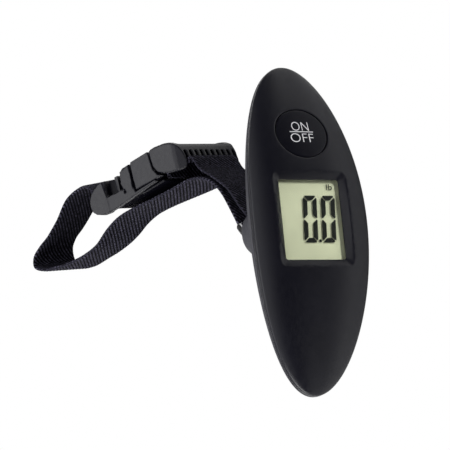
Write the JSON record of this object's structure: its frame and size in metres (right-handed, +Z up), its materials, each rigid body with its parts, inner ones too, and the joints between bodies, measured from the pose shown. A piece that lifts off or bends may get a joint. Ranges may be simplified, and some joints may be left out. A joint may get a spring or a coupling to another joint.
{
  "type": "digital luggage scale",
  "caption": "Boat-shaped hand-held hanging scale with a square display and a round button, a swivelling hook and ring, and a webbing loop closed by a side-release buckle.",
  "frame": {"origin": "bottom centre of the bounding box, on the table", "axes": "+X along the case towards the power button, +Y from the case towards the strap's far end, +Z up from the table"},
  "size_m": [0.14, 0.2296, 0.051],
  "materials": {
    "case_front": "satin moulded black",
    "case_rear": "fine-textured black",
    "button": "satin moulded black with a printed label",
    "clear_window": "clear moulded acrylic",
    "lcd": "liquid crystal glass with polariser",
    "reflector_film": "pale film",
    "zebra_rubber": "layered elastomer",
    "circuit_board": "green solder mask",
    "black_epoxy": "black resin",
    "cell_alloy": "machined",
    "gauge_foil": "amber foil",
    "plated_steel": "bright nickel plate",
    "lead_insulation": "red PVC",
    "buckle_plastic": "semi-gloss black acetal",
    "webbing": "woven black nylon"
  },
  "bodies": {
    "case": {"front_shell": "case_front", "rear_shell": "case_rear", "window_lens": "clear_window", "lcd_glass": "lcd", "lcd_reflector": "reflector_film", "zebra_strip_1": "zebra_rubber", "zebra_strip_2": "zebra_rubber", "main_board": "circuit_board", "chip_blob": "black_epoxy", "tact_switch": "black_epoxy", "button_board": "circuit_board", "switch_ribbon": "reflector_film", "load_cell": "cell_alloy", "strain_gauge_1": "gauge_foil", "strain_gauge_2": "gauge_foil", "load_cell_screw_1": "plated_steel", "load_cell_screw_2": "plated_steel", "load_cell_lead": "lead_insulation", "hook_bushing": "case_rear", "thrust_washer": "plated_steel", "coin_cell": "plated_steel", "contact_negative": "plated_steel", "contact_positive": "plated_steel", "case_screw_1": "plated_steel", "case_screw_2": "plated_steel", "case_screw_3": "plated_steel", "case_screw_4": "plated_steel"},
    "power_button": {"button_cap": "button", "switch_plunger": "black_epoxy"},
    "hook": {"swivel_hook": "plated_steel", "hook_nut": "plated_steel"},
    "ring": {"strap_ring": "plated_steel"},
    "strap": {"webbing_strap": "webbing", "buckle_male": "buckle_plastic", "buckle_female": "buckle_plastic"},
    "upper_arm": {"release_arm_upper": "buckle_plastic"},
    "lower_arm": {"release_arm_lower": "buckle_plastic"},
    "coin_door": {"battery_door": "case_rear"}
  },
  "joints": [
    {"name": "power_press", "type": "slide", "parent": "case", "child": "power_button", "axis": [-0.2446, 0.9366, -0.251], "range_m": [0, 0.0005], "stiffness_N_per_m": 600, "springref_m": -0.0003},
    {"name": "hook_swivel", "type": "hinge", "parent": "case", "child": "hook", "pos_m": [0, -0.0768, 0.01872], "axis": [0, -0.9659, 0.2588], "continuous": true},
    {"name": "ring_swing", "type": "hinge", "parent": "hook", "child": "ring", "pos_m": [0, -0.0768, 0.01872], "axis": [0, 0.2588, 0.9659], "range_deg": [-30, 75]},
    {"name": "strap_turn", "type": "hinge", "parent": "ring", "child": "strap", "pos_m": [0.00856, -0.06761, 0.01626], "axis": [0, 0.2588, 0.9659], "range_deg": [-25, 60]},
    {"name": "upper_release", "type": "hinge", "parent": "strap", "child": "upper_arm", "pos_m": [0.05212, -0.00675, 0.02715], "axis": [-0.9918, -0.0737, -0.1045], "range_deg": [0, 6], "stiffness_Nm_per_rad": 1.2, "springref_deg": -2.86},
    {"name": "lower_release", "type": "hinge", "parent": "strap", "child": "lower_arm", "pos_m": [0.05421, -0.0066, 0.00726], "axis": [0.9918, 0.0737, 0.1045], "range_deg": [0, 6], "stiffness_Nm_per_rad": 1.2, "springref_deg": -2.86},
    {"name": "door_turn", "type": "hinge", "parent": "case", "child": "coin_door", "pos_m": [-0.04, -0.09638, 0.02397], "axis": [-0.1468, -0.9555, 0.256], "range_deg": [0, 40]}
  ]
}
